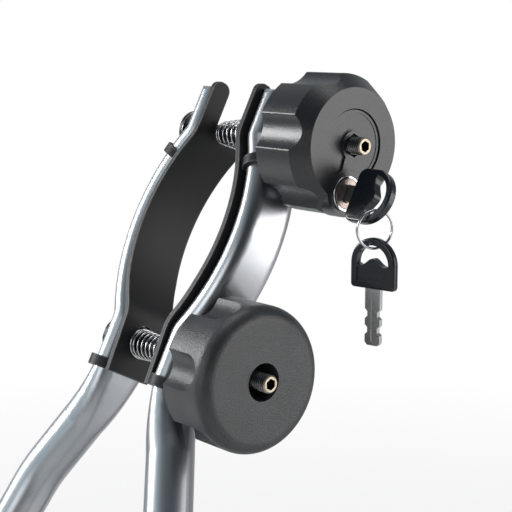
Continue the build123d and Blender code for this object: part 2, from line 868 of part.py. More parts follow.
plug_back = lock_back + lock_floor + seat_gap
with BuildPart() as lock_plug:
    with BuildSketch(facing(plug_back)):
        Circle(lock_plug_radius)
    extrude(amount=lock_front - plug_back)
    fillet(lock_plug.faces().sort_by(Axis.X)[-1].edges(), lock_edge)
    with BuildSketch(facing(lock_front)):
        Rectangle(keyway_width, keyway_height)
    extrude(amount=-keyway_depth, mode=Mode.SUBTRACT)
    with BuildSketch(facing(plug_back)):
        Circle(lock_pin_radius + running_gap)
    extrude(amount=lock_pin_hold, mode=Mode.SUBTRACT)
write(lock_plug, "lock_plug", LOCK)

with BuildPart() as lock_pin:
    with BuildSketch(facing(plug_back + seat_gap)):
        Circle(lock_pin_radius)
    extrude(amount=-lock_pin_length)
    fillet(lock_pin.faces().sort_by(Axis.X)[0].edges(), lock_edge)
write(lock_pin, "lock_pin", LOCK)

# Key in the lock: a flat steel blade in a black bow with a crescent hole
bow_start = lock_front + key_neck
bow_middle = bow_start + key_bow_length - key_bow_width / 2
blade_start = lock_front - key_blade_in
KEY_FLAT = Plane(origin=(0, 0, 0), x_dir=(1, 0, 0), z_dir=(0, -1, 0))
bow_edge = key_bow_width / 2 - key_rim


def blade_cuts(root, tip, height):
    """Points of a blade's outline from its root to its tip, with two notches on each edge."""
    way = math.copysign(1, tip - root)
    half = height / 2
    points = [(root, half)]
    for share in key_notch_shares:
        middle = root + (tip - root) * share
        points += [
            (middle - way * key_notch_width, half),
            (middle - way * key_notch_width / 2, half - key_notch_depth),
            (middle + way * key_notch_width / 2, half - key_notch_depth),
            (middle + way * key_notch_width, half),
        ]
    points += [(tip - way * key_notch_depth, half), (tip, half - key_notch_depth)]
    return points + [(x, -y) for x, y in reversed(points)]


with BuildPart() as key_1_blade:
    with BuildSketch(KEY_FLAT):
        with BuildLine():
            Polyline(*blade_cuts(bow_start + key_blade_hold, blade_start, key_blade_width), close=True)
        make_face()
    extrude(amount=key_blade_thickness / 2, both=True)
    with BuildSketch(KEY_FLAT.offset(key_blade_thickness / 2), KEY_FLAT.offset(-key_blade_thickness / 2)):
        with Locations(((bow_start + blade_start) / 2, 0)):
            Rectangle(key_blade_in - key_neck, key_groove_width)
    extrude(amount=key_groove_depth, both=True, mode=Mode.SUBTRACT)
write(key_1_blade, "key_1_blade", LOCK)

with BuildPart() as key_1_bow:
    with BuildSketch(KEY_FLAT):
        with Locations((bow_start, 0)):
            Rectangle(bow_middle - bow_start, key_bow_width, align=(Align.MIN, Align.CENTER))
        with Locations((bow_middle, 0)):
            Circle(key_bow_width / 2)
        with Locations((bow_start, 0)):
            Rectangle(key_bow_length, key_bow_width, align=(Align.MIN, Align.CENTER), mode=Mode.INTERSECT)
        fillet(vertices().group_by(Axis.X)[0], key_bow_corner)
    extrude(amount=key_bow_thickness / 2, both=True)
    fillet(key_1_bow.faces().sort_by(Axis.Y)[0].edges(), key_edge)
    fillet(key_1_bow.faces().sort_by(Axis.Y)[-1].edges(), key_edge)
    with BuildSketch(KEY_FLAT):
        with BuildLine():
            top = (bow_middle + key_hole_bar, math.sqrt(bow_edge**2 - key_hole_bar**2))
            low = (top[0], -top[1])
            ThreePointArc(top, (bow_middle + bow_edge, 0), low)
            Spline(
                low,
                (top[0], -top[1] / 2),
                (top[0] + key_hole_wave, 0),
                (top[0], top[1] / 2),
                top,
            )
        make_face()
    extrude(amount=key_bow_thickness, both=True, mode=Mode.SUBTRACT)
    with BuildSketch(KEY_FLAT):
        with Locations((bow_start, 0)):
            Rectangle(
                2 * (key_blade_hold + insert_play),
                key_blade_width + 2 * insert_play,
            )
    extrude(amount=key_blade_thickness / 2 + insert_play, both=True, mode=Mode.SUBTRACT)
write(key_1_bow, "key_1_bow", LOCK)

# Split ring: two turns of flat wound wire, hung on the bow's rim
ring_reach = math.sqrt(bow_edge**2 - ring_along**2)
hook_point = LOCK.from_local_coords((bow_middle + ring_along, 0, ring_lift - ring_reach))
turn_way = (math.cos(math.radians(ring_turn)), math.sin(math.radians(ring_turn)), 0)
RING = Plane(origin=hook_point - Vector(0, 0, ring_radius), x_dir=(0, 0, 1), z_dir=turn_way)
with BuildPart() as split_ring:
    with BuildSketch(Plane.XZ):
        with Locations((ring_radius, 0)):
            SlotOverall(ring_band, ring_wire, rotation=90)
    revolve(axis=Axis.Z)
write(split_ring, "split_ring", RING)

# Spare key: a bow with an arched hole, hanging from the ring
spare_way = (math.cos(math.radians(spare_turn)), math.sin(math.radians(spare_turn)), 0)
spare_top = spare_lift + spare_rim
spare_arch = spare_bow_width / 2
SPARE = Plane(
    origin=hook_point - Vector(0, 0, 2 * ring_radius - spare_top),
    x_dir=(math.sin(math.radians(spare_turn)), -math.cos(math.radians(spare_turn)), 0),
    z_dir=(0, 0, 1),
)
SPARE_FLAT = Plane.XZ
with BuildPart() as key_2_bow:
    with BuildSketch(SPARE_FLAT):
        with Locations((0, -spare_bow_length)):
            Rectangle(spare_bow_width, spare_bow_length - spare_arch, align=(Align.CENTER, Align.MIN))
        with Locations((0, -spare_arch)):
            Circle(spare_arch)
        Rectangle(spare_bow_width, spare_bow_length, align=(Align.CENTER, Align.MAX), mode=Mode.INTERSECT)
        fillet(vertices().group_by(Axis.Y)[0], spare_bow_corner)
    extrude(amount=spare_bow_thickness / 2, both=True)
    fillet(key_2_bow.faces().sort_by(Axis.Y)[0].edges(), key_edge)
    fillet(key_2_bow.faces().sort_by(Axis.Y)[-1].edges(), key_edge)
    with BuildSketch(SPARE_FLAT):
        with BuildLine():
            side = spare_arch - spare_rim
            ThreePointArc((-side, -spare_arch), (0, -spare_rim), (side, -spare_arch))
            Spline(
                (side, -spare_arch),
                (side / 2, -spare_arch),
                (0, spare_hole_hump - spare_arch),
                (-side / 2, -spare_arch),
                (-side, -spare_arch),
            )
        make_face()
    extrude(amount=spare_bow_thickness, both=True, mode=Mode.SUBTRACT)
    with BuildSketch(SPARE_FLAT.offset(spare_bow_thickness / 2)):
        with Locations((0, -spare_panel_drop)):
            Rectangle(spare_panel_width, spare_panel_height, align=(Align.CENTER, Align.CENTER))
    extrude(amount=-spare_panel_depth, mode=Mode.SUBTRACT)
    with BuildSketch(SPARE_FLAT):
        with Locations((0, -spare_bow_length)):
            Rectangle(
                key_blade_width + 2 * insert_play,
                2 * (key_blade_hold + insert_play),
            )
    extrude(amount=key_blade_thickness / 2 + insert_play, both=True, mode=Mode.SUBTRACT)
write(key_2_bow, "key_2_bow", SPARE)

with BuildPart() as key_2_blade:
    root = -spare_bow_length + key_blade_hold
    tip = -spare_bow_length - spare_blade_length
    with BuildSketch(SPARE_FLAT):
        with BuildLine():
            Polyline(*[(y, x) for x, y in blade_cuts(root, tip, key_blade_width)], close=True)
        make_face()
    extrude(amount=key_blade_thickness / 2, both=True)
    with BuildSketch(
        SPARE_FLAT.offset(key_blade_thickness / 2),
        SPARE_FLAT.offset(-key_blade_thickness / 2),
    ):
        with Locations((0, -spare_bow_length - spare_blade_length / 2)):
            Rectangle(key_groove_width, spare_blade_length - 2 * key_groove_width)
    extrude(amount=key_groove_depth, both=True, mode=Mode.SUBTRACT)
write(key_2_blade, "key_2_blade", SPARE)

# Arm pivot: a steel bracket round the tray, with bushes, washers, sleeve, bolt and nut
PIVOT = Plane(origin=(pivot_x, 0, pivot_height), x_dir=(1, 0, 0), z_dir=(0, -1, 0))
pivot_radius = pivot_bolt_diameter / 2
bracket_inside = tray_width / 2 + bracket_fit
bracket_outside = bracket_inside + bracket_wall
foot_inside = foot_x - foot_flat / 2
foot_outside = foot_x + foot_flat / 2
with BuildPart() as arm_bracket:
    with BuildSketch(Plane.YZ.offset(pivot_x - bracket_length / 2)):
        with Locations((0, -bracket_wall)):
            Rectangle(2 * bracket_outside, bracket_height + bracket_wall, align=(Align.CENTER, Align.MIN))
        Rectangle(
            2 * bracket_inside,
            bracket_height + overrun,
            align=(Align.CENTER, Align.MIN),
            mode=Mode.SUBTRACT,
        )
    extrude(amount=bracket_length)
    fillet(arm_bracket.edges().filter_by(Axis.Y).group_by(Axis.Z)[-1], bracket_corner)
    with BuildSketch(PIVOT):
        Circle(pivot_radius + pivot_bolt_play)
    extrude(amount=2 * bracket_outside, both=True, mode=Mode.SUBTRACT)
write(arm_bracket, "arm_bracket")

with BuildPart() as right_bush:
    with BuildSketch(PIVOT.offset(bracket_outside + seat_gap)):
        Circle(bush_collar_radius)
    extrude(amount=foot_inside - foot_play - bracket_outside - seat_gap)
    with BuildSketch(PIVOT.offset(bracket_outside + seat_gap)):
        Circle(foot_hole / 2 - bush_tilt_gap)
    extrude(amount=foot_outside + foot_play - bracket_outside - seat_gap)
    with BuildSketch(PIVOT):
        Circle(pivot_radius + running_gap)
    extrude(amount=2 * foot_outside, mode=Mode.SUBTRACT)
write(right_bush, "right_foot_bush")

with BuildPart() as left_bush:
    add(right_bush.part)
    mirror(about=Plane.XZ, mode=Mode.REPLACE)
write(left_bush, "left_foot_bush")

washer_start = foot_outside + foot_play
washer_end = washer_start + pivot_washer_thickness
with BuildPart() as pivot_washers:
    with BuildSketch(PIVOT.offset(washer_start)):
        Circle(pivot_washer_radius)
        Circle(pivot_radius + running_gap, mode=Mode.SUBTRACT)
    extrude(amount=pivot_washer_thickness)
    mirror(about=Plane.XZ)
write(pivot_washers, "pivot_washers")

with BuildPart() as pivot_bolt:
    with BuildSketch(PIVOT.offset(washer_end)):
        RegularPolygon(pivot_head_across_flats / 2, 6, major_radius=False)
    extrude(amount=pivot_head_height)
    with BuildSketch(PIVOT.offset(washer_end)):
        Circle(pivot_radius)
    extrude(amount=-2 * washer_end - pivot_nut_height - pivot_end_show)
    chamfer(pivot_bolt.faces().sort_by(Axis.Y)[-1].edges(), trim_fillet)
write(pivot_bolt, "arm_pivot_bolt")

with BuildPart() as pivot_nut:
    with BuildSketch(PIVOT.offset(-washer_end)):
        RegularPolygon(pivot_head_across_flats / 2, 6, major_radius=False)
        Circle(pivot_radius + running_gap, mode=Mode.SUBTRACT)
    extrude(amount=-pivot_nut_height)
write(pivot_nut, "arm_pivot_nut")

sleeve_half = tray_width / 2 - tray_wall - seat_gap
with BuildPart() as pivot_sleeve:
    with BuildSketch(PIVOT):
        Circle(pivot_radius + running_gap + pivot_sleeve_wall)
        Circle(pivot_radius + running_gap, mode=Mode.SUBTRACT)
    extrude(amount=sleeve_half, both=True)
write(pivot_sleeve, "pivot_sleeve")

# Wheel tray: an aluminium channel with inward lips
bar_x = bar_spacing / 2
with BuildPart() as wheel_tray:
    with BuildSketch(Plane.YZ.offset(-tray_length / 2)):
        with Locations((0, tray_height / 2)):
            RectangleRounded(tray_width, tray_height, tray_corner)
            RectangleRounded(
                tray_width - 2 * tray_wall,
                tray_height - 2 * tray_wall,
                tray_corner - tray_wall,
                mode=Mode.SUBTRACT,
            )
        with Locations((0, tray_height)):
            Rectangle(tray_width - 2 * tray_wall - 2 * tray_lip, 2 * tray_corner, mode=Mode.SUBTRACT)
    extrude(amount=tray_length)
    with BuildSketch(PIVOT):
        Circle(pivot_radius + pivot_bolt_play)
    extrude(amount=tray_width, both=True, mode=Mode.SUBTRACT)
    with BuildSketch():
        with GridLocations(bar_spacing, tray_screw_spacing, 2, 2):
            Circle(tray_screw_radius + running_gap)
    extrude(amount=tray_wall, mode=Mode.SUBTRACT)
write(wheel_tray, "wheel_tray")


# End caps: black plastic plugs in the ends of the tray
def end_cap(side):
    """A plate over the tray's end with a hollow plug inside it."""
    inset = tray_wall + seat_gap
    with BuildPart() as cap:
        with BuildSketch(Plane.YZ.offset(side * tray_length / 2)):
            with Locations((0, tray_height / 2)):
                RectangleRounded(tray_width, tray_height, tray_corner)
        extrude(amount=side * cap_wall)
        with BuildSketch(Plane.YZ.offset(side * tray_length / 2)):
            with Locations((0, tray_height / 2)):
                RectangleRounded(tray_width - 2 * inset, tray_height - 2 * inset, tray_corner - tray_wall)
                RectangleRounded(
                    tray_width - 2 * inset - 2 * cap_wall,
                    tray_height - 2 * inset - 2 * cap_wall,
                    tray_corner - tray_wall,
                    mode=Mode.SUBTRACT,
                )
        extrude(amount=-side * cap_sleeve)
    return cap


front_cap = end_cap(1)
write(front_cap, "front_end_cap")
rear_cap = end_cap(-1)
write(rear_cap, "rear_end_cap")

# Roof bar clamps: a saddle under the tray, a rubber pad, a lower jaw, a screw, a nut and a knob
bar_top = -saddle_height - bar_pad_thickness
jaw_top = bar_top - bar_height - seat_gap
jaw_bottom = jaw_top - jaw_plate_thickness
tongue_near = bar_width / 2 + slide_gap
tongue_far = tongue_near + jaw_tongue_thickness
screw_x = bar_width / 2 + screw_inset
screw_radius = clamp_screw_diameter / 2
knob_top = jaw_bottom - jaw_drop - bar_knob_gap


def bar_saddle(side):
    """The block under the tray, with the tongue's slot and the screw's seat."""
    place = side * bar_x
    with BuildPart() as saddle:
        with BuildSketch():
            with Locations((place, 0)):
                RectangleRounded(saddle_length, saddle_width, saddle_edge)
        extrude(amount=-saddle_height)
        fillet(saddle.faces().sort_by(Axis.Z)[0].edges(), trim_fillet)
        with BuildSketch(Plane.XY.offset(-saddle_height)):
            with Locations((place - side * (tongue_near + tongue_far) / 2, 0)):
                Rectangle(jaw_tongue_thickness + 2 * slide_gap, jaw_plate_width + 2 * slide_gap)
        extrude(amount=saddle_height - jaw_slot_floor, mode=Mode.SUBTRACT)
        with BuildSketch():
            with Locations((place + side * screw_x, 0)):
                Circle(clamp_head_radius + seat_gap)
        extrude(amount=-clamp_head_height - 2 * seat_gap, mode=Mode.SUBTRACT)
        with BuildSketch():
            with Locations((place + side * screw_x, 0)):
                Circle(screw_radius + running_gap)
            with Locations((place, tray_screw_spacing / 2), (place, -tray_screw_spacing / 2)):
                Circle(tray_screw_radius + running_gap)
        extrude(amount=-saddle_height, mode=Mode.SUBTRACT)
    return saddle


def bar_pad(side):
    """The rubber pad that rests on the roof bar, with grooves across it."""
    with BuildPart() as pad:
        with BuildSketch(Plane.XY.offset(-saddle_height)):
            with Locations((side * bar_x, 0)):
                Rectangle(bar_width - 2 * bar_pad_inset, saddle_width - 2 * saddle_edge)
        extrude(amount=-bar_pad_thickness)
        with BuildSketch(Plane.XY.offset(bar_top)):
            with Locations((side * bar_x, 0)):
                with GridLocations(bar_width, bar_pad_groove_pitch, 1, bar_pad_grooves):
                    Rectangle(bar_width, bar_pad_groove)
        extrude(amount=bar_pad_groove, mode=Mode.SUBTRACT)
    return pad


def bar_jaw(side):
    """The lower jaw: a plate under the bar with an upright tongue and a nut pocket."""
    place = side * bar_x
    with BuildPart() as jaw:
        with BuildSketch(Plane.XZ):
            with BuildLine():
                points = [
                    (-tongue_far, jaw_bottom),
                    (-tongue_far, -jaw_slot_floor - slide_gap),
                    (-tongue_near, -jaw_slot_floor - slide_gap),
                    (-tongue_near, jaw_top),
                    (screw_x + jaw_end, jaw_top),
                    (screw_x + jaw_end, jaw_bottom),
                ]
                Polyline(*[(place + side * x, z) for x, z in points], close=True)
            make_face()
        extrude(amount=jaw_plate_width / 2, both=True)
        fillet(jaw.faces().sort_by(Axis.Z)[0].edges(), trim_fillet)
        with BuildSketch(Plane.XY.offset(jaw_bottom)):
            with Locations((place + side * screw_x, 0)):
                RegularPolygon(clamp_nut_across_flats / 2 + insert_play, 6, major_radius=False)
        extrude(amount=clamp_nut_height + seat_gap, mode=Mode.SUBTRACT)
        with BuildSketch(Plane.XY.offset(jaw_bottom)):
            with Locations((place + side * screw_x, 0)):
                Circle(bolt_hole_radius)
        extrude(amount=jaw_plate_thickness, mode=Mode.SUBTRACT)
    return jaw


def bar_nut(side):
    """The square seated hexagon nut in the jaw's pocket."""
    with BuildPart() as nut:
        with BuildSketch(Plane.XY.offset(jaw_bottom)):
            with Locations((side * (bar_x + screw_x), 0)):
                RegularPolygon(clamp_nut_across_flats / 2, 6, major_radius=False)
                Circle(screw_radius + running_gap, mode=Mode.SUBTRACT)
        extrude(amount=clamp_nut_height)
    return nut


def bar_screw(side):
    """The clamp screw, its head held between the tray and the saddle."""
    with BuildPart() as screw:
        with BuildSketch(Plane.XY.offset(-seat_gap)):
            with Locations((side * (bar_x + screw_x), 0)):
                Circle(clamp_head_radius)
        extrude(amount=-clamp_head_height)
        with BuildSketch(Plane.XY.offset(-seat_gap - clamp_head_height)):
            with Locations((side * (bar_x + screw_x), 0)):
                Circle(screw_radius)
        extrude(amount=knob_top - bar_knob_height + seat_gap + clamp_head_height)
        chamfer(screw.faces().sort_by(Axis.Z)[0].edges(), thread_depth)
    return screw


def bar_knob(side):
    """The lobed knob at the lower end of the clamp screw."""
    with BuildPart() as knob:
        with BuildSketch(Plane.XY.offset(knob_top)):
            with Locations((side * (bar_x + screw_x), 0)):
                Circle(bar_knob_radius)
                with PolarLocations(bar_knob_scallop_centre, bar_knob_lobes):
                    Circle(bar_knob_scallop_radius, mode=Mode.SUBTRACT)
        extrude(amount=-bar_knob_height)
        fillet(knob.edges().filter_by(Axis.Z), bar_knob_edge)
        fillet(knob.faces().sort_by(Axis.Z)[0].edges(), trim_fillet)
        with BuildSketch(Plane.XY.offset(knob_top)):
            with Locations((side * (bar_x + screw_x), 0)):
                Circle(screw_radius + insert_play)
        extrude(amount=-bar_knob_height, mode=Mode.SUBTRACT)
    return knob


front_saddle = bar_saddle(1)
write(front_saddle, "front_bar_saddle")
rear_saddle = bar_saddle(-1)
write(rear_saddle, "rear_bar_saddle")
front_pad = bar_pad(1)
write(front_pad, "front_bar_pad")
rear_pad = bar_pad(-1)
write(rear_pad, "rear_bar_pad")
front_jaw = bar_jaw(1)
write(front_jaw, "front_clamp_jaw")
rear_jaw = bar_jaw(-1)
write(rear_jaw, "rear_clamp_jaw")
front_nut = bar_nut(1)
write(front_nut, "front_jaw_nut")
rear_nut = bar_nut(-1)
write(rear_nut, "rear_jaw_nut")
front_screw = bar_screw(1)
write(front_screw, "front_clamp_screw")
rear_screw = bar_screw(-1)
write(rear_screw, "rear_clamp_screw")
front_knob = bar_knob(1)
write(front_knob, "front_clamp_knob")
rear_knob = bar_knob(-1)
write(rear_knob, "rear_clamp_knob")

# Screws that hold the saddles under the tray
with BuildPart() as tray_screws:
    with BuildSketch(Plane.XY.offset(tray_wall)):
        with GridLocations(bar_spacing, tray_screw_spacing, 2, 2):
            Circle(tray_screw_head_radius)
    extrude(amount=tray_screw_head_height)
    with BuildSketch(Plane.XY.offset(tray_wall)):
        with GridLocations(bar_spacing, tray_screw_spacing, 2, 2):
            Circle(tray_screw_radius)
    extrude(amount=-tray_screw_length)
write(tray_screws, "tray_screws")

# Wheel cradles: moulded seats that slide along the tray, with straps and lever buckles
cradle_x = tray_length / 2 - cradle_end_gap - cradle_length / 2
cradle_low = tray_wall + seat_gap
cradle_top = tray_height + cradle_rise
strap_outer_radius = strap_inner_radius + strap_sheet
buckle_low = cradle_top + buckle_drop
buckle_face = strap_outer_radius + seat_gap + buckle_thickness
pin_y = buckle_face + seat_gap + lever_barrel_radius
pin_z = buckle_low + buckle_length - lever_barrel_radius


def wheel_cradle(side):
    """A hollow block under the tray's lips with a seat shaped to the tyre."""
    place = side * cradle_x
    held_width = tray_width - 2 * tray_corner
    neck_width = tray_width - 2 * tray_wall - 2 * tray_lip - 2 * slide_gap
    wheel_z = tray_height + cradle_groove_floor + wheel_radius
    with BuildPart() as cradle:
        with BuildSketch(Plane.XY.offset(cradle_low)):
            with Locations((place, 0)):
                Rectangle(cradle_length, held_width)
        extrude(amount=tray_height - tray_wall - slide_gap - cradle_low)
        with BuildSketch(Plane.XY.offset(cradle_low)):
            with Locations((place, 0)):
                Rectangle(cradle_length, neck_width)
        extrude(amount=tray_height + overrun - cradle_low)
        with BuildSketch(Plane.XZ):
            with BuildLine():
                Polyline(
                    (place - cradle_length / 2, tray_height + slide_gap),
                    (place - cradle_top_length / 2, cradle_top),
                    (place + cradle_top_length / 2, cradle_top),
                    (place + cradle_length / 2, tray_height + slide_gap),
                    close=True,
                )
            make_face()
        extrude(amount=cradle_width / 2, both=True)
        fillet(cradle.faces().sort_by(Axis.Z)[-1].edges(), cradle_edge)
        with BuildSketch(Plane.YZ.offset(place)):
            with Locations((0, wheel_z - wheel_radius + tyre_radius)):
                Circle(tyre_radius)
        revolve(axis=Axis((place, 0, wheel_z), (0, 1, 0)), mode=Mode.SUBTRACT)
        with BuildSketch(Plane.XY.offset(cradle_low)):
            with Locations((place, 0)):
                Rectangle(cradle_length - 2 * cradle_wall, neck_width - 2 * cradle_wall)
        extrude(
            amount=tray_height + cradle_groove_floor - cradle_wall - cradle_low,
            mode=Mode.SUBTRACT,
        )
        with BuildSketch(Plane.XY.offset(cradle_top)):
            with Locations(
                (place, strap_inner_radius + strap_sheet / 2),
                (place, -strap_inner_radius - strap_sheet / 2),
            ):
                Rectangle(strap_width + 2 * slide_gap, strap_sheet + 2 * slide_gap)
        extrude(amount=-strap_slot_depth, mode=Mode.SUBTRACT)
    return cradle


def wheel_strap(side):
    """An arched strap over the rim, its ends in the cradle's slots."""
    place = side * cradle_x
    low = cradle_top - strap_slot_depth + seat_gap
    high = cradle_top + strap_rise
    with BuildPart() as strap:
        with BuildSketch(Plane.YZ.offset(place - strap_width / 2)):
            with Locations((0, high)):
                Circle(strap_outer_radius)
            with Locations((0, low)):
                Rectangle(2 * strap_outer_radius, high - low, align=(Align.CENTER, Align.MIN))
            with Locations((0, high)):
                Circle(strap_inner_radius, mode=Mode.SUBTRACT)
            with Locations((0, low)):
                Rectangle(
                    2 * strap_inner_radius,
                    high - low,
                    align=(Align.CENTER, Align.MIN),
                    mode=Mode.SUBTRACT,
                )
        extrude(amount=strap_width)
    return strap


def buckle_base(side):
    """The block round the strap's near leg, with two ears for the lever's pin."""
    place = side * cradle_x
    near = strap_inner_radius - seat_gap - buckle_inner
    with BuildPart() as base:
        with BuildSketch(Plane.XY.offset(buckle_low)):
            with Locations((place, -(near + buckle_face) / 2)):
                RectangleRounded(buckle_width, buckle_face - near, buckle_corner)
        extrude(amount=buckle_length)
        for way in (-1, 1):
            with BuildSketch(Plane.YZ.offset(place + way * (buckle_width / 2 - buckle_ear))):
                with Locations((-pin_y, pin_z)):
                    Circle(lever_barrel_radius)
                    Rectangle(
                        pin_y - buckle_face + buckle_corner,
                        2 * lever_barrel_radius,
                        align=(Align.MIN, Align.CENTER),
                    )
            extrude(amount=way * buckle_ear)
        with BuildSketch(Plane.XY.offset(buckle_low)):
            with Locations((place, -strap_inner_radius - strap_sheet / 2)):
                Rectangle(strap_width + 2 * seat_gap, strap_sheet + 2 * seat_gap)
        extrude(amount=buckle_length, mode=Mode.SUBTRACT)
        with BuildSketch(Plane.YZ.offset(place)):
            with Locations((-pin_y, pin_z)):
                Circle(buckle_pin_radius + insert_play)
        extrude(amount=buckle_width, both=True, mode=Mode.SUBTRACT)
    return base


def buckle_lever(side):
    """The lever: a barrel on the pin and a flat handle below it."""
    half = buckle_width / 2 - buckle_ear - slide_gap
    with BuildPart() as lever:
        with BuildSketch(Plane.YZ.offset(side * cradle_x - half)):
            with Locations((-pin_y, pin_z)):
                Circle(lever_barrel_radius)
                Rectangle(lever_thickness, lever_length, align=(Align.CENTER, Align.MAX))
                Circle(buckle_pin_radius + running_gap, mode=Mode.SUBTRACT)
        extrude(amount=2 * half)
        fillet(lever.faces().sort_by(Axis.Z)[0].edges(), trim_fillet)
    return lever


def buckle_pin(side):
    """The steel pin through the ears and the lever."""
    with BuildPart() as pin:
        with BuildSketch(Plane.YZ.offset(side * cradle_x - buckle_width / 2)):
            with Locations((-pin_y, pin_z)):
                Circle(buckle_pin_radius)
        extrude(amount=buckle_width)
    return pin


front_cradle = wheel_cradle(1)
write(front_cradle, "front_wheel_cradle")
rear_cradle = wheel_cradle(-1)
write(rear_cradle, "rear_wheel_cradle")
front_strap = wheel_strap(1)
write(front_strap, "front_wheel_strap")
rear_strap = wheel_strap(-1)
write(rear_strap, "rear_wheel_strap")
front_base = buckle_base(1)
write(front_base, "front_buckle_base")
rear_base = buckle_base(-1)
write(rear_base, "rear_buckle_base")
front_lever = buckle_lever(1)
write(front_lever, "front_buckle_lever")
rear_lever = buckle_lever(-1)
write(rear_lever, "rear_buckle_lever")
front_pin = buckle_pin(1)
write(front_pin, "front_buckle_pin")
rear_pin = buckle_pin(-1)
write(rear_pin, "rear_buckle_pin")
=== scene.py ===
"""Roof mounted bike carrier, dressed for its picture."""
import math

import bpy
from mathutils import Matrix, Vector


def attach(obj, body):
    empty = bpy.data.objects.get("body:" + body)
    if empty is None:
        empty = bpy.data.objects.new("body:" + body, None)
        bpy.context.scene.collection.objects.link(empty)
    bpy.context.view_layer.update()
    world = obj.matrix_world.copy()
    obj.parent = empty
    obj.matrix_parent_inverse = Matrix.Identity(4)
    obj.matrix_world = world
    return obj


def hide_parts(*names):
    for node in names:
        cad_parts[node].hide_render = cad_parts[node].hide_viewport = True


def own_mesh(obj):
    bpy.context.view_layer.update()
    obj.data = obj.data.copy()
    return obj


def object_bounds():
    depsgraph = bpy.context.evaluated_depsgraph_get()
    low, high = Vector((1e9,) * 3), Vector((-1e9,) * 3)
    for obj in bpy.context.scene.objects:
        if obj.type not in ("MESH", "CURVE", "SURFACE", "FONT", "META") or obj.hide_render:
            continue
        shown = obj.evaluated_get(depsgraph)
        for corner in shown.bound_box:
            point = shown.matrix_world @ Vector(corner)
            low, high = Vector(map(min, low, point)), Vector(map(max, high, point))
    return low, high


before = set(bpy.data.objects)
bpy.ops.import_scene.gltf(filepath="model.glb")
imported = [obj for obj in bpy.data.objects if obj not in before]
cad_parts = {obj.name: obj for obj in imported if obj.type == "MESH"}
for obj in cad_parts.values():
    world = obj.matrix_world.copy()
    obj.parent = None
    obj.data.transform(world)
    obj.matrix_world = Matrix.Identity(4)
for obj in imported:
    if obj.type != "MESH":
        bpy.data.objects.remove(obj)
cad_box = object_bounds()
scene = bpy.context.scene

# Camera, where the photograph was taken from: held upright on the knobs' side of the clamp
# head, a little above it and looking a little down.
head = Vector((0.0, 0.0, 0.3978))
eye_offset = Vector((-0.351, -0.500, 0.148))
view_azimuth = math.radians(-39.4)
view_drop = math.radians(9.6)
focal_pixels = 1315.5
picture_pixels = 512
sensor_width = 36.0
nearest_seen = 0.01

camera_data = bpy.data.cameras.new("camera")
camera_data.sensor_width = sensor_width
camera_data.lens = sensor_width * focal_pixels / picture_pixels
camera_data.clip_start = nearest_seen
camera = bpy.data.objects.new("camera", camera_data)
camera.location = head + eye_offset
aim = Vector(
    (
        -math.sin(view_azimuth) * math.cos(view_drop),
        math.cos(view_azimuth) * math.cos(view_drop),
        -math.sin(view_drop),
    )
)
camera.rotation_euler = aim.to_track_quat("-Z", "Y").to_euler()
scene.collection.objects.link(camera)
scene.camera = camera


# Wheel tray: one aluminium channel, rolled or drawn along its length and satin anodised.
# It lies on the two bar clamps and carries the arm, the cradles and two end caps.
class Value:
    """One number that varies over a surface, so that shader sums read as sums."""

    def __init__(self, shading, socket):
        self.shading = shading
        self.socket = socket

    def maths(self, operation, first, second):
        node = self.shading.node("ShaderNodeMath", {"operation": operation}, {0: first, 1: second})
        return Value(self.shading, node.outputs["Value"])

    def __add__(self, other):
        return self.maths("ADD", self, other)

    __radd__ = __add__

    def __mul__(self, other):
        return self.maths("MULTIPLY", self, other)

    __rmul__ = __mul__

    def __sub__(self, other):
        return self.maths("SUBTRACT", self, other)

    def __rsub__(self, other):
        return self.maths("SUBTRACT", other, self)


class Shading:
    """A set of shader nodes that are added one by one."""

    def __init__(self, tree):
        self.tree = tree

    def node(self, kind, settings, sockets):
        """Add a node: its settings first, then its sockets, as values or as links."""
        node = self.tree.nodes.new(kind)
        for name, value in settings.items():
            setattr(node, name, value)
        for name, value in sockets.items():
            if isinstance(value, Value):
                value = value.socket
            if isinstance(value, bpy.types.NodeSocket):
                self.tree.links.new(value, node.inputs[name])
            else:
                node.inputs[name].default_value = value
        return node

    def spread(self, value, low, high):
        """A value stretched from between two levels to 0 and 1, and cut off there."""
        node = self.node(
            "ShaderNodeMapRange",
            {"clamp": True},
            {"Value": value, "From Min": low, "From Max": high},
        )
        return Value(self, node.outputs["Result"])

    def colour(self, value):
        """A colour with its alpha, or a colour socket as it is."""
        return value if isinstance(value, bpy.types.NodeSocket) else (*value, 1.0)

    def mix(self, share, first, second):
        """A colour between two colours: the node's sockets for colours go by their numbers."""
        first_socket, second_socket, mixed_socket = 6, 7, 2
        node = self.node(
            "ShaderNodeMix",
            {"data_type": "RGBA"},
            {"Factor": share, first_socket: self.colour(first), second_socket: self.colour(second)},
        )
        return node.outputs[mixed_socket]


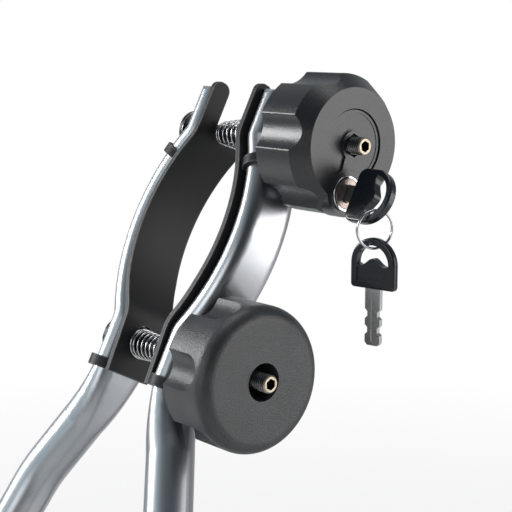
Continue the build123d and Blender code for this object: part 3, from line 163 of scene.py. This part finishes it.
class Finish(Shading):
    """One material: a Principled shader, and the nodes that vary it over the surface."""

    def __init__(self, name, colour, metallic=0.0, specular=0.5, coat=0.0):
        self.material = bpy.data.materials.new(name)
        self.material.use_nodes = True
        super().__init__(self.material.node_tree)
        self.shader = self.tree.nodes["Principled BSDF"]
        self.shader.inputs["Base Color"].default_value = (*colour, 1.0)
        self.shader.inputs["Metallic"].default_value = metallic
        self.shader.inputs["Specular IOR Level"].default_value = specular
        self.shader.inputs["Coat Weight"].default_value = coat
        self.place = self.node("ShaderNodeTexCoord", {}, {}).outputs["Object"]

    def noise(self, size, detail=2.0, stretch=None):
        """Smooth noise from 0 to 1, its patches of a size in metres, drawn out along an axis."""
        place = self.place
        if stretch:
            scaled = self.node("ShaderNodeVectorMath", {"operation": "MULTIPLY"}, {0: place, 1: stretch})
            place = scaled.outputs["Vector"]
        node = self.node("ShaderNodeTexNoise", {}, {"Vector": place, "Scale": 1.0 / size, "Detail": detail})
        return Value(self, node.outputs["Fac"])

    def edges(self, radius):
        """How far a rounded normal leaves the true one: 0 on flats, up to 1 on sharp edges."""
        rounded = self.node("ShaderNodeBevel", {"samples": 4}, {"Radius": radius}).outputs["Normal"]
        flat = self.node("ShaderNodeNewGeometry", {}, {}).outputs["Normal"]
        along = self.node("ShaderNodeVectorMath", {"operation": "DOT_PRODUCT"}, {0: rounded, 1: flat})
        return self.spread(1.0 - Value(self, along.outputs["Value"]), low=0.01, high=0.2)

    def set(self, socket, value):
        """Feed one of the shader's varying sockets."""
        link = value.socket if isinstance(value, Value) else value
        self.tree.links.new(link, self.shader.inputs[socket])

    def bump(self, height, depth):
        """Raise the surface by a height value, its full depth in metres."""
        node = self.node("ShaderNodeBump", {}, {"Height": height, "Distance": depth})
        self.set("Normal", node.outputs["Normal"])


def dress(finish, *names):
    """Give CAD nodes a finish."""
    for name in names:
        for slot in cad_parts[name].material_slots:
            slot.material = finish.material


tray_colour = (0.60, 0.61, 0.63)
tray_dull = (0.48, 0.49, 0.51)
tray_rough = 0.26
drawn_rough = 0.16
cloudy_rough = 0.08
anodised = Finish("anodised_aluminium", tray_colour, metallic=1.0)
drawn_lines = anodised.noise(size=0.0006, detail=3.0, stretch=(0.01, 1.0, 1.0))
cloudy = anodised.spread(anodised.noise(size=0.09), low=0.35, high=0.7)
anodised.set("Base Color", anodised.mix(cloudy, tray_colour, tray_dull))
anodised.set("Roughness", tray_rough + drawn_rough * drawn_lines + cloudy_rough * cloudy)
anodised.bump(drawn_lines, depth=0.00002)
dress(anodised, "wheel_tray")

# End caps: moulded plastic plugs pushed into the ends of the tray.
# Like all the carrier's plain mouldings they are black, satin, with a fine spark grain, and their edges are
# painted a lighter grey as a painted highlight.
moulded_black = (0.012, 0.012, 0.013)
moulded_lit_edge = (0.035, 0.035, 0.037)
moulded_edge_highlight = 0.6
moulded_rough = 0.42
grain_rough = 0.16
handled_polish = 0.07
moulded = Finish("black_moulding", moulded_black)
grain = moulded.noise(size=0.0004)
handled = moulded.spread(moulded.noise(size=0.02), low=0.4, high=0.75)
moulded.set(
    "Base Color",
    moulded.mix(moulded.edges(radius=0.0006) * moulded_edge_highlight, moulded_black, moulded_lit_edge),
)
moulded.set("Roughness", moulded_rough + grain_rough * grain - handled_polish * handled)
moulded.bump(grain, depth=0.00003)
dress(moulded, "front_end_cap", "rear_end_cap")

# Arm bracket: a pressed steel channel hugged round the tray, powder coated black.
# The arm's pivot bolt goes through its two ears.
coat_black = (0.018, 0.018, 0.020)
coat_worn = (0.10, 0.10, 0.10)
coat_wear = 0.5
coat_rough = 0.33
peel_rough = 0.15
coated = Finish("black_powder_coat", coat_black, coat=0.2)
orange_peel = coated.noise(size=0.0014)
coated.set("Base Color", coated.mix(coated.edges(radius=0.0008) * coat_wear, coat_black, coat_worn))
coated.set("Roughness", coat_rough + peel_rough * orange_peel)
coated.bump(orange_peel, depth=0.00005)
dress(coated, "arm_bracket")

# Pivot hardware: a zinc plated bolt, nut, washers and a spacer sleeve inside the tray.
# Two black plastic bushes carry the arm's feet.
zinc_colour = (0.66, 0.67, 0.69)
zinc_yellow = (0.62, 0.60, 0.55)
zinc_rough = 0.24
bloom_rough = 0.2
zinc = Finish("zinc_plate", zinc_colour, metallic=1.0)
zinc_bloom = zinc.spread(zinc.noise(size=0.006, detail=4.0), low=0.4, high=0.7)
zinc.set("Base Color", zinc.mix(zinc_bloom, zinc_colour, zinc_yellow))
zinc.set("Roughness", zinc_rough + bloom_rough * zinc_bloom)
dress(zinc, "pivot_washers", "arm_pivot_bolt", "arm_pivot_nut", "pivot_sleeve")
dress(moulded, "right_foot_bush", "left_foot_bush")

# Arm tubes: welded steel tube, bent and pressed flat at the jaws and the feet, then polished
# and plated bright. Fine polishing lines run along them, and smears from handling dull them.
tube_colour = (0.58, 0.59, 0.61)
tube_shade = (0.42, 0.46, 0.49)
tube_rough = 0.26
polish_rough = 0.06
smear_rough = 0.08
bright_tube = Finish("bright_tube", tube_colour, metallic=1.0)
polish = bright_tube.noise(size=0.0005, detail=3.0, stretch=(0.25, 1.0, 0.12))
smear = bright_tube.spread(bright_tube.noise(size=0.05), low=0.35, high=0.75)
bright_tube.set("Base Color", bright_tube.mix(smear, tube_colour, tube_shade))
bright_tube.set("Roughness", tube_rough + polish_rough * polish + smear_rough * smear)
bright_tube.bump(polish, depth=0.000008)
dress(bright_tube, "right_arm_tube", "left_arm_tube")

# Jaw pads: black plastic mouldings that line the pressed jaws, each held by two straps.
# Their thin edges are painted a lighter grey, a painted highlight.
pad_black = (0.014, 0.014, 0.015)
pad_lit_edge = (0.17, 0.18, 0.185)
pad_edge_highlight = 0.8
pad_rough = 0.4
pad_grain_rough = 0.16
pad = Finish("pad_moulding", pad_black, specular=0.36)
pad_grain = pad.noise(size=0.0005)
pad.set("Base Color", pad.mix(pad.edges(radius=0.0014) * pad_edge_highlight, pad_black, pad_lit_edge))
pad.set("Roughness", pad_rough + pad_grain_rough * pad_grain)
pad.bump(pad_grain, depth=0.00004)
dress(pad, "right_jaw_pad", "left_jaw_pad")

# Clamp bolts: M8 steel, blackened, with a flat round head and a socket in the threaded end.
# The crests of the thread are worn bright, and the cut end is left with a brassy passivation.
oxide = (0.055, 0.055, 0.058)
crest = (0.78, 0.74, 0.68)
passivated = (0.62, 0.55, 0.42)
passivated_least = 0.5
oxide_rough = 0.42
worn_polish = 0.14
blackened = Finish("blackened_steel", oxide, metallic=1.0)
worn = blackened.edges(radius=0.0005)
scuffed = blackened.spread(blackened.noise(size=0.002, detail=3.0), low=0.2, high=0.6)
box_place = blackened.node("ShaderNodeTexCoord", {}, {}).outputs["Generated"]
along_bolt = blackened.node("ShaderNodeSeparateXYZ", {}, {0: box_place}).outputs["Y"]
cut_end = 1.0 - blackened.spread(Value(blackened, along_bolt), low=0.002, high=0.008)
brassy = cut_end * (passivated_least + (1.0 - passivated_least) * scuffed)
blackened.set(
    "Base Color",
    blackened.mix(brassy, blackened.mix(worn * scuffed, oxide, crest), passivated),
)
blackened.set("Roughness", oxide_rough - worn_polish * worn)
dress(blackened, "lower_bolt", "upper_bolt")

# Springs: conical coils of bright drawn wire that push the jaws apart, shown by copies that ride with the
# moving parts.
# The lock pin and the key ring are of the same bright wire.
wire_colour = (0.78, 0.78, 0.80)
wire_dull = (0.60, 0.59, 0.58)
wire_rough = 0.13
die_rough = 0.12
wire = Finish("bright_wire", wire_colour, metallic=1.0)
die_lines = wire.noise(size=0.0008)
wire.set("Base Color", wire.mix(wire.spread(die_lines, low=0.4, high=0.8), wire_colour, wire_dull))
wire.set("Roughness", wire_rough + die_rough * die_lines)
dress(wire, "lower_spring", "upper_spring", "lock_pin", "split_ring")


def shorten(name, body):
    """A spring's copy that rides with a body, in place of the hidden CAD spring."""
    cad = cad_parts[name]
    coil = bpy.data.objects.new(name + "_coil", cad.data.copy())
    scene.collection.objects.link(coil)
    coil.matrix_world = cad.matrix_world.copy()
    for slot in coil.material_slots:
        slot.material = wire.material
    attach(coil, body)
    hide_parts(name)
    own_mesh(coil)


shorten("lower_spring", "right_arm")
shorten("upper_spring", "upper_rod")

# Spacers: black plastic collars that slide on the bolts between the right jaw and the knobs.
# They are moulded in the same satin black as the end caps.
dress(moulded, "lower_spacer", "upper_spacer")

# Lower hand knob: one black moulding with a fine leathery grain on its face and side.
# Dust lies in its grain in cloudy patches.
knob_black = (0.024, 0.026, 0.028)
knob_dust = (0.046, 0.050, 0.053)
knob_rough = 0.27
spark_rough = 0.22
dust_rough = 0.05
knob = Finish("knob_moulding", knob_black, specular=0.8)
spark = knob.noise(size=0.0006, detail=3.0)
dusty = knob.spread(knob.noise(size=0.012, detail=3.0), low=0.4, high=0.8)
knob.set("Base Color", knob.mix(dusty, knob_black, knob_dust))
knob.set("Roughness", knob_rough + spark_rough * spark + dust_rough * dusty)
knob.bump(spark, depth=0.00018)
dress(knob, "lower_knob")

# Knob inserts: turned brass nuts that carry the bolts' thread inside both hand knobs.
# The brass is dull with tarnish.
brass_colour = (0.72, 0.55, 0.28)
brass_tarnished = (0.42, 0.30, 0.14)
brass_rough = 0.22
tarnish_rough = 0.2
turned_brass = Finish("turned_brass", brass_colour, metallic=1.0)
tarnish = turned_brass.spread(turned_brass.noise(size=0.003, detail=3.0), low=0.35, high=0.7)
turned_brass.set("Base Color", turned_brass.mix(tarnish, brass_colour, brass_tarnished))
turned_brass.set("Roughness", brass_rough + tarnish_rough * tarnish)
dress(turned_brass, "lower_knob_insert", "upper_knob_insert")

# Upper hand knob: a fluted black moulding, smoother than the lower one, with a bevelled front.
# A thin cover is let into its front round the bolt and runs out to the lock.
satin_black = (0.016, 0.018, 0.020)
satin_lit_edge = (0.045, 0.045, 0.047)
satin_edge_highlight = 0.5
satin_rough = 0.22
soft_rough = 0.14
satin = Finish("satin_moulding", satin_black, specular=0.8)
soft_grain = satin.noise(size=0.0005)
# Painted highlight: the edges are painted a lighter grey.
satin.set("Base Color", satin.mix(satin.edges(radius=0.0007) * satin_edge_highlight, satin_black, satin_lit_edge))
satin.set("Roughness", satin_rough + soft_rough * soft_grain)
satin.bump(soft_grain, depth=0.00006)
dress(satin, "upper_knob", "upper_knob_cover")

# Lock: a zinc die casting, chrome plated, let into the cover.
# The bare milled plug turns in the housing and takes the key.
chrome_colour = (0.84, 0.84, 0.85)
chrome_dull = (0.66, 0.62, 0.57)
chrome_rough = 0.08
handling_rough = 0.14
chrome = Finish("lock_chrome", chrome_colour, metallic=1.0)
handling = chrome.spread(chrome.noise(size=0.004, detail=3.0), low=0.4, high=0.8)
chrome.set("Base Color", chrome.mix(handling, chrome_colour, chrome_dull))
chrome.set("Roughness", chrome_rough + handling_rough * handling)
dress(chrome, "lock_housing")

plug_colour = (0.52, 0.44, 0.40)
plug_dark = (0.30, 0.24, 0.22)
plug_rough = 0.24
milled_rough = 0.2
plug = Finish("milled_plug", plug_colour, metallic=1.0)
milled = plug.noise(size=0.0005, detail=3.0, stretch=(1.0, 1.0, 0.1))
plug.set("Base Color", plug.mix(plug.spread(milled, low=0.35, high=0.7), plug_colour, plug_dark))
plug.set("Roughness", plug_rough + milled_rough * milled)
dress(plug, "lock_plug")

# Keys: flat nickel plated blades with milled grooves, in glossy black bows.
# One is in the lock and the spare hangs from a split ring through both bows.
nickel_colour = (0.76, 0.75, 0.73)
nickel_dull = (0.55, 0.54, 0.52)
nickel_rough = 0.14
scratch_rough = 0.2
nickel = Finish("nickel_blade", nickel_colour, metallic=1.0)
scratches = nickel.noise(size=0.0004, detail=3.0, stretch=(1.0, 1.0, 0.15))
scratched = nickel.spread(scratches, low=0.45, high=0.8)
nickel.set("Base Color", nickel.mix(scratched, nickel_colour, nickel_dull))
nickel.set("Roughness", nickel_rough + scratch_rough * scratches)
dress(nickel, "key_1_blade", "key_2_blade")

bow_black = (0.010, 0.013, 0.017)
bow_lit_edge = (0.05, 0.05, 0.05)
bow_edge_highlight = 0.4
bow_rough = 0.12
ripple_rough = 0.12
glossy = Finish("glossy_moulding", bow_black, coat=0.3)
ripple = glossy.noise(size=0.004)
# Painted highlight: the bows' edges are painted a lighter grey.
glossy.set("Base Color", glossy.mix(glossy.edges(radius=0.0006) * bow_edge_highlight, bow_black, bow_lit_edge))
glossy.set("Roughness", bow_rough + ripple_rough * ripple)
glossy.bump(ripple, depth=0.00005)
dress(glossy, "key_1_bow", "key_2_bow")

# Roof bar clamps: glass filled saddles, jaws and knobs, rubber bar pads, plated screws and nuts.
# Short plated screws hold the saddles under the tray.
rubber_black = (0.020, 0.020, 0.020)
rubber_bloom = (0.045, 0.045, 0.044)
rubber_rough = 0.66
rubber_bloom_rough = 0.18
rubber = Finish("bar_pad_rubber", rubber_black)
bloom = rubber.spread(rubber.noise(size=0.008, detail=3.0), low=0.4, high=0.8)
rubber.set("Base Color", rubber.mix(bloom, rubber_black, rubber_bloom))
rubber.set("Roughness", rubber_rough + rubber_bloom_rough * bloom)
rubber.bump(rubber.noise(size=0.0007), depth=0.00006)
dress(rubber, "front_bar_pad", "rear_bar_pad")
dress(moulded, "front_bar_saddle", "rear_bar_saddle", "front_clamp_jaw", "rear_clamp_jaw")
dress(knob, "front_clamp_knob", "rear_clamp_knob")
dress(zinc, "front_jaw_nut", "rear_jaw_nut", "front_clamp_screw", "rear_clamp_screw", "tray_screws")

# Wheel cradles: ribbed black mouldings that slide in the tray, with a tyre shaped seat.
# A dark grey toothed strap goes over the rim into a lever buckle with a steel pin.
strap_grey = (0.045, 0.045, 0.050)
strap_dark = (0.030, 0.030, 0.033)
strap_rough = 0.4
strap_grain_rough = 0.15
strap = Finish("strap_plastic", strap_grey)
teeth = strap.node("ShaderNodeTexWave", {"bands_direction": "Z"}, {"Vector": strap.place, "Scale": 40.0})
ladder = Value(strap, teeth.outputs["Fac"])
strap.set("Base Color", strap.mix(ladder, strap_grey, strap_dark))
strap.set("Roughness", strap_rough + strap_grain_rough * strap.noise(size=0.001))
strap.bump(ladder, depth=0.0005)
dress(strap, "front_wheel_strap", "rear_wheel_strap", "front_buckle_lever", "rear_buckle_lever")
dress(moulded, "front_wheel_cradle", "rear_wheel_cradle", "front_buckle_base", "rear_buckle_base")
dress(zinc, "front_buckle_pin", "rear_buckle_pin")

# Studio: a pale floor just under the clamp knobs, a white surround, and four soft lamps.
# Metal sees a light tent: dark slate at its open front, cool white to one side, warm to the other.
pure_white = (1.0, 1.0, 1.0)
floor_drop = 0.012
floor_size = 12.0
floor_colour = (0.86, 0.86, 0.86)
floor_rough = 0.85
fibre_rough = 0.1
shadow_share = 0.75
shadow_reach = (0.9, 1.8)
floor_mesh = bpy.data.meshes.new("floor")
half = floor_size / 2
corners = [(-half, -half, 0), (half, -half, 0), (half, half, 0), (-half, half, 0)]
floor_mesh.from_pydata(corners, [], [(0, 1, 2, 3)])
floor = bpy.data.objects.new("floor", floor_mesh)
floor.location.z = cad_box[0][2] - floor_drop
scene.collection.objects.link(floor)
paper = Finish("floor_paper", floor_colour)
paper.set("Roughness", floor_rough + fibre_rough * paper.noise(size=0.05))
floor_mesh.materials.append(paper.material)
rays = paper.node("ShaderNodeLightPath", {}, {})
white = paper.node("ShaderNodeEmission", {}, {"Color": (*pure_white, 1.0), "Strength": 1.0})
reach = paper.node("ShaderNodeVectorMath", {"operation": "LENGTH"}, {0: paper.place})
far = paper.spread(Value(paper, reach.outputs["Value"]), *shadow_reach)
seen_white = Value(paper, rays.outputs["Is Camera Ray"]) * (shadow_share + (1.0 - shadow_share) * far)
blend = paper.node(
    "ShaderNodeMixShader",
    {},
    {0: seen_white, 1: paper.shader.outputs["BSDF"], 2: white.outputs["Emission"]},
)
paper.tree.links.new(blend.outputs["Shader"], paper.tree.nodes["Material Output"].inputs["Surface"])

world = bpy.data.worlds.new("surround")
scene.world = world
world.use_nodes = True
surround = Shading(world.node_tree)
way = surround.node("ShaderNodeTexCoord", {}, {}).outputs["Generated"]


def patch(towards, inner, outer):
    """A soft round patch of the surround: 1 within the inner angle, 0 outside the outer one."""
    facing = surround.node(
        "ShaderNodeVectorMath",
        {"operation": "DOT_PRODUCT"},
        {0: way, 1: Vector(towards).normalized()},
    )
    return surround.spread(
        Value(surround, facing.outputs["Value"]),
        low=math.cos(math.radians(outer)),
        high=math.cos(math.radians(inner)),
    )


ambient = (0.34, 0.35, 0.36)
tent = (0.15, 0.17, 0.19)
open_front = (0.020, 0.030, 0.036)
cool_side = (0.50, 0.60, 0.66)
warm_side = (0.80, 0.71, 0.70)
white_back = (0.50, 0.53, 0.56)
back = patch(towards=(0.575, 0.80, 0.10), inner=20, outer=60)
look = surround.mix(back, tent, white_back)
cool = patch(towards=(-0.90, 0.30, 0.20), inner=14, outer=40)
look = surround.mix(cool, look, cool_side)
warm = patch(towards=(0.60, -0.78, -0.10), inner=16, outer=42)
look = surround.mix(warm, look, warm_side)
front = patch(towards=(-0.62, -0.76, 0.17), inner=28, outer=64)
look = surround.mix(front, look, open_front)
path = surround.node("ShaderNodeLightPath", {}, {})
look = surround.mix(Value(surround, path.outputs["Is Glossy Ray"]), ambient, look)
seen = Value(surround, path.outputs["Is Camera Ray"])
through = Value(surround, path.outputs["Is Transmission Ray"])
look = surround.mix(seen + through, look, pure_white)
surround.tree.links.new(look, surround.tree.nodes["Background"].inputs["Color"])


def lamp(name, place, size, power):
    """A square soft lamp, its place in metres from the clamp head that it is turned to."""
    data = bpy.data.lights.new(name, "AREA")
    data.size = size
    data.energy = power
    lit = bpy.data.objects.new(name, data)
    lit.location = head + Vector(place)
    lit.rotation_euler = (-Vector(place)).to_track_quat("-Z", "Y").to_euler()
    scene.collection.objects.link(lit)


lamp("side", place=(-0.86, 1.26, 0.52), size=0.6, power=13)
lamp("front", place=(1.05, -1.35, 0.05), size=1.1, power=8)
lamp("left", place=(-1.70, -0.30, 0.45), size=0.8, power=4)
lamp("top", place=(0.2, 0.2, 1.9), size=1.2, power=9)

scene.view_settings.view_transform = "Standard"
